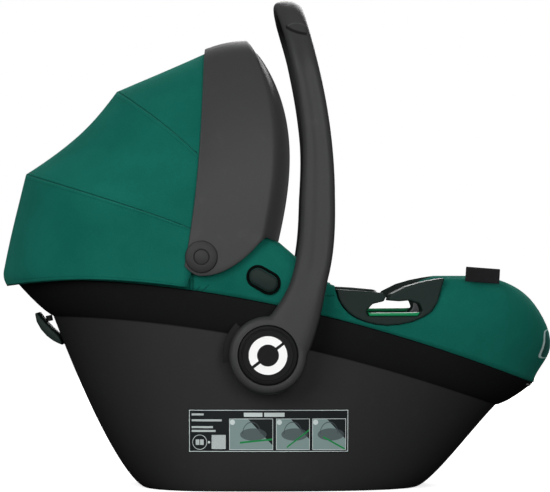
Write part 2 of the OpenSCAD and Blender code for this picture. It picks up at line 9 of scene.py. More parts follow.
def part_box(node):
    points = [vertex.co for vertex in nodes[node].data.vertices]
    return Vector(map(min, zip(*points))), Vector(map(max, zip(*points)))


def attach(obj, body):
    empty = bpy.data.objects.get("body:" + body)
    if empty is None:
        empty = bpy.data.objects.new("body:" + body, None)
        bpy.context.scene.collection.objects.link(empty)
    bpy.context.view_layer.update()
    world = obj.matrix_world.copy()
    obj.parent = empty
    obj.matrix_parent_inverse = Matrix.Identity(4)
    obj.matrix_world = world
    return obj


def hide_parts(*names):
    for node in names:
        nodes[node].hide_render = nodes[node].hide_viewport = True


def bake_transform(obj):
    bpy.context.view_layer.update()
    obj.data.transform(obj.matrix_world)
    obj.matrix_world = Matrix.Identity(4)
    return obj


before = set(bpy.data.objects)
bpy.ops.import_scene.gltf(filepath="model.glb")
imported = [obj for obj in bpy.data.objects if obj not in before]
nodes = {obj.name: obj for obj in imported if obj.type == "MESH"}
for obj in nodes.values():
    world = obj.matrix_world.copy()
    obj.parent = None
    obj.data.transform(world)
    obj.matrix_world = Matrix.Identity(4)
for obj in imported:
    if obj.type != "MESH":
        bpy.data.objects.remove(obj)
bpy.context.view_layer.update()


# ---------- Lower shell ----------
# One deep tub moulded in black polypropylene, with a flat foot to rock and stand on.
# Above a crisp crease the wall flares out into a band that the cover is clipped behind.
MM = 0.001


def mix(a, b, t):
    return a + (b - a) * t


def clamp(t):
    return max(0.0, min(1.0, t))


def smooth(t):
    t = clamp(t)
    return t * t * (3 - 2 * t)


def power_cos(angle, power):
    value = math.cos(math.radians(angle))
    return math.copysign(abs(value) ** power, value)


def power_sin(angle, power):
    value = math.sin(math.radians(angle))
    return math.copysign(abs(value) ** power, value)


HEM_HEIGHT = 247
BAND_HEIGHT = 44
FOOT_REAR, FOOT_FRONT, FOOT_HALF = -157, 170, 134
CREASE_REAR, CREASE_FRONT, CREASE_HALF = -265, 264, 160
HEM_REAR, HEM_FRONT, HEM_HALF = -312, 309, 175.8
WIDEST_X = -40
PLAN_POWER, WALL_POWER = 0.72, 0.72


def hem_z(x):
    return HEM_HEIGHT - 0.001237 * max(0, x + 250) ** 1.82


def crease_z(x):
    return hem_z(x) - BAND_HEIGHT


def top_z(x):
    wing = mix(240, 301, smooth((75 - x) / 95))
    return wing + 10 * smooth((x - 110) / 90) - 0.0062 * max(0, x - 240) ** 2


def plan(around, rear, front, half, power=PLAN_POWER, widest=WIDEST_X):
    """A point in X and Y on the carrier's boxy oval outline."""
    c = power_cos(around, power)
    reach = front - widest if c > 0 else widest - rear
    return widest + c * reach, half * power_sin(around, power)


def tub(around, u, inset=0):
    grow = u ** WALL_POWER
    x, y = plan(around, mix(FOOT_REAR, CREASE_REAR, grow) + inset,
                mix(FOOT_FRONT, CREASE_FRONT, grow) - inset, mix(FOOT_HALF, CREASE_HALF, grow) - inset)
    return x, y, max(inset, u * crease_z(x))


def band(around, t, inset=0):
    out = t ** 0.8
    x, y = plan(around, mix(CREASE_REAR, HEM_REAR, out) + inset,
                mix(CREASE_FRONT, HEM_FRONT, out) - inset, mix(CREASE_HALF, HEM_HALF, out) - inset)
    return x, y, mix(crease_z(x), hem_z(x), t)


def roll(around, angle, inset=0):
    """A point on the padded rim: the angle runs from the hem over the top to the inside."""
    s, c = math.sin(math.radians(angle)), math.cos(math.radians(angle))
    out = c ** 0.5 if angle < 0 else c
    nose = c ** 1.3 if angle < 0 else c
    x, y = plan(around, -300 - (16.5 - inset) * out, 299 + (31 - inset) * nose,
                166 + (15 - inset) * out)
    if angle < 90:
        rise = clamp((s + 0.906) / 1.906) ** 0.6
        return x, y, mix(hem_z(x), top_z(x) - inset, rise)
    return x, y, top_z(x) - inset - 14 * (1 - s)


def as_piece(name, mesh, smooth_angle=40):
    """Makes an object of a bmesh, with its doubles merged and its faces outwards."""
    bmesh.ops.remove_doubles(mesh, verts=mesh.verts, dist=0.00002)
    bmesh.ops.recalc_face_normals(mesh, faces=mesh.faces)
    data = bpy.data.meshes.new(name)
    mesh.to_mesh(data)
    mesh.free()
    data.shade_smooth()
    if smooth_angle:
        data.set_sharp_from_angle(angle=math.radians(smooth_angle))
    piece = bpy.data.objects.new(name, data)
    bpy.context.scene.collection.objects.link(piece)
    return piece


def grid(columns, rows, place, cloth=(1, 1)):
    """A sheet whose points a formula places, from the share along it and the row.

    Its UVs are in metres of cloth.
    """
    mesh = bmesh.new()
    bmesh.ops.create_grid(mesh, x_segments=columns, y_segments=rows, size=1)
    weave = mesh.loops.layers.uv.new("Cloth")
    for face in mesh.faces:
        for loop in face.loops:
            x, y, _ = loop.vert.co
            loop[weave].uv = ((x + 1) / 2 * cloth[0], (y + 1) / 2 * cloth[1])
    for vert in mesh.verts:
        vert.co = Vector(place((vert.co.x + 1) / 2, round((vert.co.y + 1) / 2 * rows))) * MM
    return mesh


def voxels(size):
    return "REMESH", dict(mode="VOXEL", voxel_size=size)


def thickened(thickness, offset=-1):
    return "SOLIDIFY", dict(thickness=thickness, offset=offset)


def eased(iterations):
    return "SMOOTH", dict(factor=0.5, iterations=iterations)


def chamfered(width):
    return "BEVEL", dict(width=width, segments=2, limit_method="ANGLE", angle_limit=math.radians(60))


SUBDIVIDED = "SUBSURF", dict(levels=1, render_levels=1)


def finished(piece, *steps):
    """Applies modifiers, each given as a kind and its settings, so that the mesh holds the result."""
    for kind, settings in steps:
        modifier = piece.modifiers.new(kind.title(), kind)
        for key, value in settings.items():
            setattr(modifier, key, value)
    bpy.context.view_layer.update()
    shown = piece.evaluated_get(bpy.context.evaluated_depsgraph_get())
    result = bpy.data.meshes.new_from_object(shown)
    piece.modifiers.clear()
    old, piece.data = piece.data, result
    bpy.data.meshes.remove(old)
    return piece


def carved(piece, *cutters):
    """Cuts the cutters out of a piece, and removes them."""
    finished(piece, *[("BOOLEAN", dict(object=cutter, operation="DIFFERENCE", solver="EXACT"))
                      for cutter in cutters])
    for cutter in cutters:
        bpy.data.objects.remove(cutter)
    return piece


def own(piece, body, *replaced, material=None, slot=None):
    """Gives a piece its material, its body and the CAD nodes it stands for. The slot is not used."""
    if material:
        piece.data.materials.clear()
        piece.data.materials.append(material)
    if replaced:
        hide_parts(*replaced)
    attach(piece, body)
    return piece


def coat(node, material):
    """Gives a CAD node that is shown as it is a material."""
    nodes[node].material_slots[0].material = material


def shaded(colour, share=1):
    """A colour made darker or paler by a share, with its alpha."""
    return (*[min(1, c * share) for c in colour], 1)


class Wire:
    """A shader socket that sums can be written with."""

    def __init__(self, finish, socket):
        self.finish, self.socket = finish, socket

    def __add__(self, other): return self.finish.sum("ADD", self, other)
    def __sub__(self, other): return self.finish.sum("SUBTRACT", self, other)
    def __mul__(self, other): return self.finish.sum("MULTIPLY", self, other)
    def __truediv__(self, other): return self.finish.sum("DIVIDE", self, other)
    def __pow__(self, other): return self.finish.sum("POWER", self, other)
    def __gt__(self, other): return self.finish.sum("GREATER_THAN", self, other)
    def __lt__(self, other): return self.finish.sum("LESS_THAN", self, other)
    def __rsub__(self, other): return self.finish.sum("SUBTRACT", other, self)
    def __abs__(self): return self.finish.sum("ABSOLUTE", self)
    __radd__, __rmul__ = __add__, __mul__


class Finish:
    """A material. Fixed values go on the shader's own sockets; expressions add its nodes."""

    def __init__(self, name, **fixed):
        self.material = bpy.data.materials.new(name)
        self.material.use_nodes = True
        self.tree = self.material.node_tree
        self.shader = self.tree.nodes["Principled BSDF"]
        for key, value in fixed.items():
            self.shader.inputs[key.replace("_", " ")].default_value = value

    def join(self, value, socket):
        if isinstance(value, Wire):
            self.tree.links.new(value.socket, socket)
        else:
            socket.default_value = value

    def node(self, kind, settings=None, inputs=None, out=0):
        made = self.tree.nodes.new(kind)
        for key, value in (settings or {}).items():
            setattr(made, key, value)
        for key, value in (inputs or {}).items():
            self.join(value, made.inputs[key])
        return Wire(self, made.outputs[out])

    def sum(self, operation, *values):
        return self.node("ShaderNodeMath", {"operation": operation}, dict(enumerate(values)))

    def sine(self, value):
        return self.sum("SINE", value)

    def point(self):
        return self.node("ShaderNodeTexCoord", out="Object")

    def cloth(self):
        return self.node("ShaderNodeUVMap", {"uv_map": "Cloth"})

    def parts(self, vector):
        split = self.node("ShaderNodeSeparateXYZ", None, {0: vector}).socket.node
        return [Wire(self, output) for output in split.outputs]

    def blotches(self, scale, detail=2, roughness=0.5):
        return self.node("ShaderNodeTexNoise", None, {
            "Vector": self.point(), "Scale": scale, "Detail": detail, "Roughness": roughness})

    def colours(self, factor, first, second):
        return self.node("ShaderNodeMix", {"data_type": "RGBA"},
                         {0: factor, 6: first, 7: second}, out=2)

    def step(self, value, low, high):
        return self.node("ShaderNodeMapRange", {"interpolation_type": "SMOOTHSTEP"},
                         {"Value": value, "From Min": low, "From Max": high})

    def bump(self, height, distance):
        return self.node("ShaderNodeBump", None,
                         {"Height": height, "Distance": distance, "Strength": 1.0})

    def paint(self, **links):
        for key, value in links.items():
            self.join(value, self.shader.inputs[key.replace("_", " ")])
        return self.material


def moulded(name, colour, roughness, grain=0.00004, grain_scale=1500, specular=0.5, scuffs=0.25):
    """Moulded plastic: a fine spark-eroded grain, faint flow marks, and slightly paler scuffs."""
    finish = Finish(name, Specular_IOR_Level=specular)
    flow = finish.blotches(9, 3)
    rub = finish.step(finish.blotches(42, 5, roughness=0.7), 0.56, 0.72) * scuffs
    pale = tuple(min(1, c * 1.7 + 0.006) for c in colour)
    base = finish.colours(flow, shaded(colour, 0.86), shaded(colour, 1.12))
    height = finish.blotches(grain_scale, 2) + flow * 0.2
    return finish.paint(Base_Color=finish.colours(rub * 0.5, base, (*pale, 1)),
                        Roughness=roughness + flow * 0.08 - rub * 0.12,
                        Normal=finish.bump(height, grain))


shell_plastic = moulded("shell_black_plastic", (0.0175, 0.0176, 0.0177), 0.5, specular=0.16)
band_plastic = moulded("shell_band_plastic", (0.0060, 0.0061, 0.0062), 0.6,
                       grain=0.00006, grain_scale=1100, specular=0.12)
shell_levels = ([("foot", k / 6) for k in range(6)]
                + [("tub", (k / 26) ** 1.7) for k in range(26)] + [("tub", 0.994), ("tub", 1)]
                + [("band", t) for t in (0.012, 0.05, 0.15, 0.3, 0.5, 0.7, 0.86, 0.97)]
                + [("roll", a) for a in (-65, -45, -20, 5, 30, 55, 75)])


def shell_point(u, row):
    kind, value = shell_levels[row]
    around = 360 * u
    if kind == "foot":
        x, y, z = tub(around, 0)
        return x * value, y * value, 0
    if kind == "tub":
        return tub(around, value)
    return band(around, value) if kind == "band" else roll(around, value, 4.5)


def slab(low, high):
    """A plain block, to cut with."""
    mesh = bmesh.new()
    bmesh.ops.create_cube(mesh, size=1)
    size = Vector(high) - Vector(low)
    bmesh.ops.scale(mesh, vec=size, verts=mesh.verts)
    bmesh.ops.translate(mesh, vec=Vector(low) + size / 2, verts=mesh.verts)
    return as_piece("cutter", mesh)


POCKET_TOP = 0.33


def guide_pocket(side):
    """The dish-shaped pocket in the rim that a belt guide lies in, open at the top."""
    mesh = bmesh.new()
    for vert in nodes[f"belt_guide_{side}"].data.vertices:
        mesh.verts.new(vert.co)
    bmesh.ops.remove_doubles(mesh, verts=mesh.verts, dist=0.0001)
    ends = [pick(mesh.verts, key=lambda v: v.co.x).co.copy() for pick in (min, max)]
    sign = 1 if side == "left" else -1
    for vert in mesh.verts:
        out = vert.co.y * sign > mix(0.164, 0.152, (vert.co.x - 0.071) / 0.126)
        vert.co.y += sign * (0.04 if out else -0.002)
    for end in ends:
        for y in (end.y + sign * 0.04, end.y - sign * 0.045):
            mesh.verts.new((end.x, y, POCKET_TOP))
    hull = bmesh.ops.convex_hull(mesh, input=mesh.verts)
    spare = hull["geom_interior"] + hull["geom_unused"]
    inside = {v for v in spare if isinstance(v, bmesh.types.BMVert)}
    bmesh.ops.delete(mesh, geom=list(inside), context="VERTS")
    return as_piece("cutter", mesh)


def button_pocket(side, sign):
    """The hole behind a side button that it is pressed into."""
    low, high = (Vector(corner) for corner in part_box(f"side_button_{side}"))
    (low if sign > 0 else high).y -= sign * 0.008
    return slab(low - Vector((0.001, 0, 0.001)), high + Vector((0.001, 0, 0.001)))


shell = as_piece("moulded_shell", grid(176, len(shell_levels) - 1, shell_point), 50)
finished(shell, thickened(0.004))
carved(shell, guide_pocket("left"), guide_pocket("right"),
       button_pocket("left", 1), button_pocket("right", -1),
       *[slab(((x - 15) * MM, -0.045, -0.01), ((x + 15) * MM, 0.045, 0.018)) for x in (-95, 105)])
own(shell, "carrier", "carrier_shell", material=shell_plastic, slot="shell_black")
shell.data.materials.append(band_plastic)
for polygon in shell.data.polygons:
    if polygon.center.z > crease_z(polygon.center.x / MM) * MM + 0.0004:
        polygon.material_index = 1

foam = Finish("foam_beads", Roughness=0.85)
beads = foam.node("ShaderNodeTexVoronoi", {"feature": "DISTANCE_TO_EDGE"},
                  {"Vector": foam.point(), "Scale": 260})
coat("foam_liner", foam.paint(
    Base_Color=foam.colours(foam.step(beads, 0, 0.15), (0.60, 0.59, 0.56, 1), (0.80, 0.79, 0.75, 1)),
    Normal=foam.bump(foam.step(beads, 0, 0.2), 0.0004)))


# ---------- Rim cover ----------
# A padded sleeve of fine woven polyester, drawn over the rim and clipped under the shell's hem.
# Its front and back halves are joined by twin-needle seams below the canopy's pivots.
def woven(name, colour, pale, pitch=0.00085, seams=None, patch=None, sheen=0.16):
    """Plain-weave cloth in UV metres: threads over and under, slubs, and slow changes of shade."""
    finish = Finish(name, Roughness=0.82, Sheen_Weight=sheen, Sheen_Roughness=0.4,
                    Specular_IOR_Level=0.02, Sheen_Tint=(*[min(1, c * 6 + 0.1) for c in pale], 1))
    across, along, _ = finish.parts(finish.cloth())
    turn = 2 * math.pi / pitch
    warp, weft = finish.sine(across * turn), finish.sine(along * turn)
    over = warp * weft
    threads = abs(warp) * 0.5 + abs(weft) * 0.5 + over * 0.35
    slub = finish.blotches(900, 2)
    shade = finish.blotches(14, 4, roughness=0.6)
    light = finish.step(shade * 0.55 + slub * 0.45, 0.34, 0.66)
    cloth = finish.colours(light, (*colour, 1), (*pale, 1))
    cloth = finish.colours(finish.step(over, 0.3, 1.0) * 0.28, cloth, shaded(pale, 1.5))
    height = threads * 0.5 + slub * 0.5
    if seams:
        pressed, thread = seams(finish)
        cloth = finish.colours(pressed * 0.62, cloth, shaded(colour, 0.38))
        cloth = finish.colours(thread * 0.7, cloth, shaded(pale, 1.25))
        height = height - pressed * 5 + thread * 1.5
    if patch:
        cloth, raised = patch(finish, cloth)
        height = height * (1 - raised) + raised * 3
    return finish.paint(Base_Color=cloth, Normal=finish.bump(height, 0.00016))


GREEN, PALE_GREEN = (0.0045, 0.092, 0.068), (0.0075, 0.122, 0.092)


def line(finish, x, z, start, end, width):
    """How much of a line drawn from start to end in X and Z lies at a point: 1 on it, 0 off it."""
    (x0, z0), (x1, z1) = start, end
    length = math.hypot(x1 - x0, z1 - z0)
    dx, dz = (x1 - x0) / length, (z1 - z0) / length
    off = abs((x - x0) * dz - (z - z0) * dx)
    along = (x - x0) * dx + (z - z0) * dz
    return (1 - finish.step(off, width * 0.4, width)) * (along > 0) * (along < length), along


def cover_seams(finish):
    """Twin-needle seams below each pivot and a cross seam beside the legs."""
    x, _, z = finish.parts(finish.point())
    pressed, stitches = 0, 0
    for start, end in (((-0.0985, 0.262), (-0.0985, 0.228)), ((-0.0945, 0.262), (-0.0945, 0.228)),
                       ((-0.0960, 0.228), (-0.0860, 0.240)), ((-0.0950, 0.224), (-0.0760, 0.241)),
                       ((0.052, 0.2285), (0.069, 0.2285))):
        mark, along = line(finish, x, z, start, end, 0.0007)
        pressed = mark + pressed
        stitches = mark * finish.step(finish.sine(along * (2 * math.pi / 0.0032)), -0.2, 0.5) + stitches
    return pressed, stitches * 0.35


def nose_patch(finish, cloth):
    """A plain rubber patch welded to the cloth at the foot end, with a pale raised border."""
    x, y, z = finish.parts(finish.point())
    round_box = (abs(y / 0.076) ** 8 + abs((z - 0.1700) / 0.0175) ** 8) ** 0.125
    patch = (round_box < 1) * (x > 0.25)
    border = patch * (round_box > 0.93)
    cloth = finish.colours(patch, cloth, (0.016, 0.050, 0.044, 1))
    return finish.colours(border, cloth, (0.52, 0.66, 0.64, 1)), patch


cover_cloth = woven("rim_green_weave", GREEN, PALE_GREEN, seams=cover_seams, patch=nose_patch)
roll_angles = [-65, -62, -56, -48, -40, -30, -20, -8, 5, 18, 30, 42, 55, 65, 75, 83, 90,
               100, 115, 128, 140, 150, 160]


def cover_point(u, row):
    """The padding gathers a little where the rim bends, and is drawn tight to the hem."""
    around, angle = 360 * u, roll_angles[row]
    point = Vector(roll(around, angle))
    soft = smooth((angle + 60) / 60) * smooth((165 - angle) / 60)
    puff = 0.7 * noise.noise(point * 0.009) + 0.2 * noise.noise(point * 0.03)
    away = (point - Vector(roll(around, 60, 24))).normalized()
    return point + away * (puff - 0.9) * soft


cover = as_piece("rim_cover", grid(208, len(roll_angles) - 1, cover_point, cloth=(1.72, 0.16)), 0)
finished(cover, thickened(0.0034))
carved(cover, guide_pocket("left"), guide_pocket("right"))
own(cover, "carrier", "seat_cover", material=cover_cloth, slot="green_fabric")


# ---------- Belt guides, rear hook and side buttons ----------
# Injection-moulded guides for the vehicle's belt, screwed into pockets in the rim.
# A glossy green lip marks the belt's path, and a horn under the head end holds the shoulder belt.
def merged(node):
    """A copy of a CAD part's mesh, with its loose triangles joined."""
    mesh = bmesh.new()
    mesh.from_mesh(nodes[node].data)
    bmesh.ops.remove_doubles(mesh, verts=mesh.verts, dist=0.00001)
    return mesh


def softened(name, node, radius, material, body, slot=None, smooth_angle=35):
    """A moulding with the CAD part's shape, whose edges are rounded as a mould leaves them."""
    mesh = merged(node)
    bmesh.ops.dissolve_limit(mesh, angle_limit=math.radians(1.5), verts=mesh.verts, edges=mesh.edges)
    sharp = [e for e in mesh.edges if len(e.link_faces) == 2 and e.calc_face_angle(0) > math.radians(28)]
    bmesh.ops.bevel(mesh, geom=sharp, offset=radius * MM, segments=3, profile=0.5, affect="EDGES",
                    material=-1, clamp_overlap=True)
    return own(as_piece(name, mesh, smooth_angle), body, node, material=material, slot=slot)


dark_plastic = moulded("button_dark_plastic", (0.0075, 0.0165, 0.0140), 0.46,
                       grain=0.00002, specular=0.1)
recess_black = moulded("recess_black_rubber", (0.0016, 0.0018, 0.0018), 0.8,
                       grain=0.00002, specular=0.05, scuffs=0.05)
marker_plastic = moulded("belt_marker_green", (0.004, 0.20, 0.070), 0.34,
                         grain=0.00001, specular=0.1, scuffs=0.1)
SIDES = (("left", 1), ("right", -1))
for side, sign in SIDES:
    guide = as_piece(f"belt_guide_moulding_{side}", merged(f"belt_guide_{side}"), 0)
    finished(guide, voxels(0.0009), eased(8))
    guide.data.shade_smooth()
    own(guide, "carrier", f"belt_guide_{side}", material=dark_plastic, slot="button_dark")
    softened(f"belt_marker_{side}", f"belt_guide_lip_{side}", 0.8, marker_plastic,
             "carrier", "green_plastic")
    softened(f"side_bezel_ring_{side}", f"side_bezel_{side}", 1.2, recess_black,
             "carrier", "shell_black")
    softened(f"side_release_{side}", f"side_button_{side}", 1.6, dark_plastic,
             f"side_button_{side}", "button_dark")
softened("shoulder_belt_horn", "rear_belt_hook", 1.5, dark_plastic, "carrier", "button_dark")
softened("horn_stop", "hook_stop", 0.8, shell_plastic, "carrier", "shell_black")

steel = Finish("zinc_plated_steel", Metallic=1.0, Specular_IOR_Level=0.5)
brushed = steel.blotches(220, 4, roughness=0.7)
steel.paint(Base_Color=steel.colours(brushed, (0.40, 0.41, 0.43, 1), (0.62, 0.63, 0.65, 1)),
            Roughness=0.28 + brushed * 0.2, Normal=steel.bump(brushed, 0.00003))
for node in ("base_latch_bar_front", "base_latch_bar_rear"):
    coat(node, steel.material)


# ---------- Handle ----------
# A blow-moulded arch in satin grey, wide and flat on its face with rounded edges.
# It flows into the round hubs; each arm has a scooped thumb rest near the top.
HUB = (-8, 161)
BAR_Z, CORNER, ARM_TOP = 560.5, 78, 482.5
ARM_SHARE, CORNER_SHARE = 0.56, 0.76
TUBE_HALF = 11


def waist(z):
    """How much the arm is drawn in at the back, between its middle and the corner."""
    return 3.5 * smooth((z - 330) / 90) * smooth((575 - z) / 70)


def arm_x(z):
    if z > 348:
        return 49.3 - 29.3 * ((z - 348) / 193) ** 2 + waist(z) / 2
    return 49.3 - 57.3 * ((348 - z) / 187) ** 2.84


def arm_width(z):
    return 42 - 9 * (z - 250) / 290 - waist(z) if z > 250 else 42 + 26 * ((250 - z) / 60) ** 1.6


def arm_y(z):
    return 211 - 9 * clamp((z - HUB[1]) / 400)


def handle_line(v):
    """The middle of the tube at a share of the way over, and the direction that faces out there."""
    t, side = 2 * min(v, 1 - v), -1 if v < 0.5 else 1
    if t < ARM_SHARE:
        z = mix(162, ARM_TOP, t / ARM_SHARE)
        return side * arm_y(z), z, side, 0
    turn = min(1, (t - ARM_SHARE) / 0.2) * 90
    bar_half = arm_y(ARM_TOP) - CORNER
    if t < CORNER_SHARE:
        a = math.radians(turn)
        return side * (bar_half + CORNER * math.cos(a)), ARM_TOP + CORNER * math.sin(a), side, turn
    y = mix(bar_half, 0, (t - CORNER_SHARE) / 0.24)
    return side * y, BAR_Z + 6 * (1 - (y / 125) ** 2), side, 90


def tube_point(around, v, grow=0):
    """The tube's skin: flat with a shallow channel on the arms, rounder and leaning at the bar."""
    y, z, side, turn = handle_line(v)
    flat, over = math.cos(math.radians(turn)), math.sin(math.radians(turn))
    half = arm_width(z) / 2 + grow
    across = half * power_cos(around, 0.5 + 0.4 * over)
    out = (TUBE_HALF + grow) * power_sin(around, 0.56 + 0.3 * over)
    if out > 0:
        channel = math.exp(-((across / half - 0.12) / 0.42) ** 2)
        out -= 1.5 * flat * smooth((z - 215) / 60) * channel
    return (arm_x(z) + across - 0.27 * out * over + 2.5 * over * over,
            y + side * out * flat, z + out * over)


def spun(profile, centre, sign):
    """Turns a profile, given as radius and place along Y, about an axis through the centre."""
    mesh = bmesh.new()
    verts = [mesh.verts.new(((centre[0] + r) * MM, sign * y * MM, centre[1] * MM)) for r, y in profile]
    edges = [mesh.edges.new(pair) for pair in zip(verts, verts[1:])]
    if profile[0][0] > 0:
        edges.append(mesh.edges.new((verts[-1], verts[0])))
    bmesh.ops.spin(mesh, geom=verts + edges, cent=(centre[0] * MM, 0, centre[1] * MM),
                   axis=(0, 1, 0), angle=2 * math.pi, steps=96, use_merge=True)
    return mesh


def sealed(mesh):
    """Merges a tube's seam and closes its open ends."""
    bmesh.ops.remove_doubles(mesh, verts=mesh.verts, dist=0.00002)
    bmesh.ops.holes_fill(mesh, edges=[e for e in mesh.edges if e.is_boundary], sides=0)
    return mesh


def joined(*pieces):
    """Puts the meshes of several pieces into the first."""
    mesh = bmesh.new()
    for piece in pieces:
        mesh.from_mesh(piece.data)
    mesh.to_mesh(pieces[0].data)
    mesh.free()
    for piece in pieces[1:]:
        bpy.data.objects.remove(piece)
    return pieces[0]


def on_hubs(*profile):
    """A turned solid at each hub."""
    return [as_piece("turned", spun(profile, HUB, sign)) for _, sign in SIDES]


TUBE_ROWS = 220
tube = grid(48, TUBE_ROWS, lambda u, row: tube_point(360 * u, row / TUBE_ROWS))
handle = joined(as_piece("carry_handle", sealed(tube)),
                *on_hubs((0, 197.6), (43.6, 197.6), (44.7, 198.8), (44.8, 214), (44.2, 217.6),
                         (42.4, 219.9), (39.5, 220.9), (0, 221)))
finished(handle, voxels(0.0014), eased(10))
carved(handle,
       *on_hubs((0, 207.5), (34.3, 207.5), (34.3, 219.6), (35.2, 221.4), (35.2, 230), (0, 230)),
       *on_hubs((0, 190), (22.5, 190), (22.5, 203.5), (0, 203.5)))
handle.data.shade_smooth()
handle.data.set_sharp_from_angle(angle=math.radians(50))

satin = Finish("handle_grey_plastic", Specular_IOR_Level=0.12)
x, y, z = satin.parts(satin.point())
flow, grain = satin.blotches(7, 3), satin.blotches(1700, 2)
scuffs = satin.step(satin.blotches(50, 5, roughness=0.7), 0.58, 0.74) * 0.2
# The scoop is a crescent cut between two arcs; its lower arc is a crisp step whose shadow is painted as a
# dark line, and a pale highlight is painted along its upper arc.
lower = ((x - 0.0390) ** 2 + (z - 0.5740) ** 2) ** 0.5
upper = ((x - 0.0250) ** 2 + (z - 0.5265) ** 2) ** 0.5
on_face = (abs(y) > 0.19) * (x > 0.0125) * (x < 0.0365)
scoop = on_face * (lower < 0.0440) * (upper < 0.0165)
# Painted shadow: a dark line along the lower arc, where the step's shade falls.
edge = on_face * (1 - satin.step(abs(lower - 0.0448), 0.0009, 0.0024))
# Painted highlight: a pale line along the upper arc.
painted_brim_highlight = on_face * (lower < 0.0440) * (1 - satin.step(abs(upper - 0.0160), 0.0003, 0.0012))
depth = scoop * satin.step(lower, 0.030, 0.044)
grey = satin.colours(flow, (0.0265, 0.0268, 0.0272, 1), (0.033, 0.0333, 0.0338, 1))
# Paler where the scuffs wear the grey, and along the painted highlight of the upper arc.
grey = satin.colours(scuffs + painted_brim_highlight * 0.8, grey, (0.055, 0.0555, 0.056, 1))
satin.paint(
    # The near-black mix is the painted shadow line under the step.
    Base_Color=satin.colours(edge * 0.95, grey, (0.004, 0.004, 0.004, 1)),
    Roughness=0.4 + flow * 0.08 - scuffs * 0.2,
    Normal=satin.bump(grain * 0.02 - depth * 0.9, 0.0012))
own(handle, "handle", "handle_frame", "handle_hub_left", "handle_hub_right",
    material=satin.material, slot="handle_grey")

grip_rubber = Finish("grip_rubber", Roughness=0.7, Specular_IOR_Level=0.3)
x, y, z = grip_rubber.parts(grip_rubber.point())
rib = grip_rubber.sine(y * (2 * math.pi / 0.006))
speck = grip_rubber.blotches(1100, 2)
grip_rubber.paint(Base_Color=grip_rubber.colours(speck, (0.014, 0.014, 0.015, 1), (0.026, 0.026, 0.027, 1)),
                  Normal=grip_rubber.bump(grip_rubber.step(rib, 0.2, 1) * 0.8 + speck * 0.15, 0.0006))


GRIP_HALF, GRIP_ROWS = 60, 60


def grip_point(u, row):
    """The sleeve wraps the underside, and thins to nothing at its edges and ends."""
    y = mix(-GRIP_HALF, GRIP_HALF, row / GRIP_ROWS)
    v = 0.5 + math.copysign(abs(y) / 125.85 * 0.12, y)
    ends = smooth((GRIP_HALF - abs(y)) / 5)
    around = mix(182, 358, u)
    lip = smooth(min(u, 1 - u) / 0.25)
    return tube_point(around, v, 0.1 + 1.5 * ends * lip)


grip = as_piece("grip_sleeve", grid(40, GRIP_ROWS, grip_point), 0)
finished(grip, thickened(0.0012))
own(grip, "handle", "handle_grip", material=grip_rubber.material, slot="grip_rubber")


# ---------- Hubs ----------
# Each hub turns on a steel axle in a mount fixed to the shell, and a toothed lock sits between them.
# A round release button fills the hub, with a raised turn symbol in white on its face.
hub_plastic = moulded("hub_dark_plastic", (0.0052, 0.0053, 0.0054), 0.45,
                      grain=0.00002, specular=0.07)
white_inlay = moulded("symbol_white_plastic", (0.83, 0.83, 0.82), 0.4,
                      grain=0.00001, specular=0.35, scuffs=0.05)
button_profile = [(0, 222), (28.6, 222), (29.2, 221.5), (30.2, 221.5), (30.8, 222),
                  (32.6, 222), (33.6, 221.5), (34, 220.6), (34, 215), (0, 215)]
for side, sign in SIDES:
    softened(f"hub_mount_moulding_{side}", f"hub_mount_{side}", 1.0, band_plastic,
             "carrier", "shell_black")
    button = as_piece(f"hub_release_{side}", spun(button_profile, HUB, sign), 30)
    own(button, f"hub_button_{side}", f"hub_button_{side}", material=hub_plastic,
        slot="button_dark")
    coat(f"hub_symbol_{side}", white_inlay)
    for node in ("hub_axle", "lock_gear", "hub_spring"):
        coat(f"{node}_{side}", steel.material)


# ---------- Canopy pivots ----------
# The two sprung bows and the visor turn on one pin each side, under a round cap.
PIVOT = (-84.5, 273.6)
cap_plastic = moulded("pivot_cap_plastic", (0.0215, 0.0216, 0.0218), 0.46,
                      grain=0.00002, specular=0.16)
cap_profile = [(0, 195.5), (7.6, 195.5), (7.9, 195.4), (8.3, 195.8), (8.7, 196.2), (9.1, 195.8),
               (9.5, 195.4), (17.2, 195.3), (18.2, 194.8), (18.7, 194.0), (18.7, 193.4),
               (5, 193.4), (5, 160), (0, 160)]
for side, sign in SIDES:
    cap = as_piece(f"pivot_cap_{side}", spun(cap_profile, PIVOT, sign), 35)
    own(cap, "carrier", f"canopy_pivot_{side}", material=cap_plastic, slot="button_dark")


# ---------- Canopy ----------
# Three gores of woven polyester, cut in one curve each and sewn over the bows with a felled seam.
# The back gore is sewn to the rim's hem, and the front one is clipped inside the visor.
PIVOT_POINT = Vector((PIVOT[0], 0, PIVOT[1]))
HOOP_POWER = 0.72
HEM_HALF_WIDTH, VISOR_FOOT = 189.4, 251.5


def over_arch(around):
    """How high and how far out a hoop is, as shares."""
    return max(0, math.sin(math.radians(around))) ** HOOP_POWER, power_cos(around, HOOP_POWER)


def arch(around, angle, radius, half, bend, low):
    """A hoop from pivot to pivot. Its legs bend forward, out of the plane through the pivots."""
    up, side = over_arch(around)
    a = math.radians(angle)
    forward = bend * (1 - up) * up ** low if up > 0 else 0
    return Vector((PIVOT[0] + radius * (up * math.cos(a) + forward * math.sin(a)),
                   half * side * (1 - 0.13 * forward),
                   PIVOT[1] + radius * (up * math.sin(a) - forward * math.cos(a))))


def rear_hoop(around, inside=0):
    return arch(around, 155.3, 234 - inside, 189.4 - inside, bend=0.145, low=0.1)


def front_hoop(around, inside=0):
    return arch(around, 118, 222.5 - inside, 189.6 - inside, bend=0.55, low=0.28)


def visor_rear_x(up):
    return mix(-104, -83.5, 1 - (1 - up) ** 2.4)


